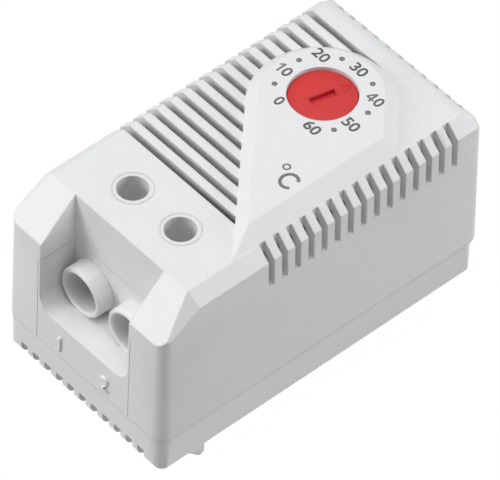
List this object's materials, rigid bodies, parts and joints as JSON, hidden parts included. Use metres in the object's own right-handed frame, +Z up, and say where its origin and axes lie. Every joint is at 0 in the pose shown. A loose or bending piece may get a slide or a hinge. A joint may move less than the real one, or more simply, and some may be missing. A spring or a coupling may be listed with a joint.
{
  "type": "thermostat",
  "caption": "Small enclosure thermostat for a top-hat rail, with a red slotted dial, vent slots, two clamp terminals and a bimetal snap contact inside.",
  "frame": {"origin": "under the middle of the body, at the lowest point of the rail clip", "axes": "+Y from the wire entry at the front to the dial end at the rear, +X to the right seen from the front, +Z up from the rail to the dial"},
  "size_m": [0.033, 0.06, 0.041],
  "materials": {
    "cover_plastic": "fine matte moulded light grey",
    "base_plastic": "fine matte moulded pale grey",
    "latch_plastic": "matte moulded grey",
    "dial_plastic": "smooth red",
    "dark_plastic": "matte black moulding",
    "steel": "zinc plated",
    "brass": "bright rolled brass",
    "contact_silver": "silver contact face",
    "bimetal": "rolled bimetal",
    "iron": "bare soft iron",
    "magnet": "dark sintered magnet"
  },
  "bodies": {
    "housing": {"housing_cover": "cover_plastic", "base_plate": "base_plastic", "terminal_housing": "cover_plastic", "dial_washer": "brass", "adjusting_bush": "brass", "bridge": "steel", "contact_carrier": "dark_plastic", "carrier_screws": "steel", "fixed_contact_strip": "brass", "fixed_contact": "contact_silver", "bimetal_busbar": "brass", "spring_rivets": "steel", "snap_magnet": "magnet", "latch_spring": "steel"},
    "dial": {"setting_dial": "dial_plastic", "dial_retainer": "steel"},
    "adjuster": {"adjusting_screw": "steel"},
    "setting_arm": {"setting_spring": "brass", "bimetal_rivets": "steel"},
    "bimetal_arm": {"bimetal_strip": "bimetal", "moving_contact": "contact_silver", "armature": "iron"},
    "clamp_screw_1": {"terminal_screw_1": "steel"},
    "clamp_cage_1": {"terminal_cage_1": "steel"},
    "clamp_screw_2": {"terminal_screw_2": "steel"},
    "clamp_cage_2": {"terminal_cage_2": "steel"},
    "latch": {"rail_latch": "latch_plastic"}
  },
  "joints": [
    {"name": "dial_turn", "type": "hinge", "parent": "housing", "child": "dial", "pos_m": [0, 0.0136, 0.0394], "axis": [0, 0, 1], "range_deg": [-134.7, 161.3]},
    {"name": "screw_feed", "type": "slide", "parent": "dial", "child": "adjuster", "axis": [0, 0, 1], "range_m": [-0.000187, 0.000224]},
    {"name": "setting_tilt", "type": "hinge", "parent": "housing", "child": "setting_arm", "pos_m": [0, -0.0083, 0.0214], "axis": [1, 0, 0], "range_deg": [-0.5, 0.6]},
    {"name": "bimetal_flex", "type": "hinge", "parent": "setting_arm", "child": "bimetal_arm", "pos_m": [0, -0.003, 0.02075], "axis": [1, 0, 0], "range_deg": [0, 1.5], "stiffness_Nm_per_rad": 0.05},
    {"name": "terminal_screw_1_turn", "type": "hinge", "parent": "housing", "child": "clamp_screw_1", "pos_m": [-0.00495, -0.0168, 0.0325], "axis": [0, 0, -1], "range_deg": [0, 1440]},
    {"name": "terminal_cage_1_rise", "type": "slide", "parent": "housing", "child": "clamp_cage_1", "axis": [0, 0, 1], "range_m": [0, 0.002]},
    {"name": "terminal_screw_2_turn", "type": "hinge", "parent": "housing", "child": "clamp_screw_2", "pos_m": [0.00495, -0.0168, 0.0325], "axis": [0, 0, -1], "range_deg": [0, 1440]},
    {"name": "terminal_cage_2_rise", "type": "slide", "parent": "housing", "child": "clamp_cage_2", "axis": [0, 0, 1], "range_m": [0, 0.002]},
    {"name": "latch_slide", "type": "slide", "parent": "housing", "child": "latch", "axis": [0, -1, 0], "range_m": [0, 0.0022], "stiffness_N_per_m": 300, "springref_m": -0.004, "deforming": ["latch_spring"]}
  ],
  "couplings": [
    {"joint": "dial_turn", "follows": "screw_feed", "rad_per_m": 12566},
    {"joint": "setting_tilt", "follows": "screw_feed", "rad_per_m": 45.662},
    {"joint": "terminal_screw_1_turn", "follows": "terminal_cage_1_rise", "rad_per_m": 12566},
    {"joint": "terminal_screw_2_turn", "follows": "terminal_cage_2_rise", "rad_per_m": 12566}
  ]
}
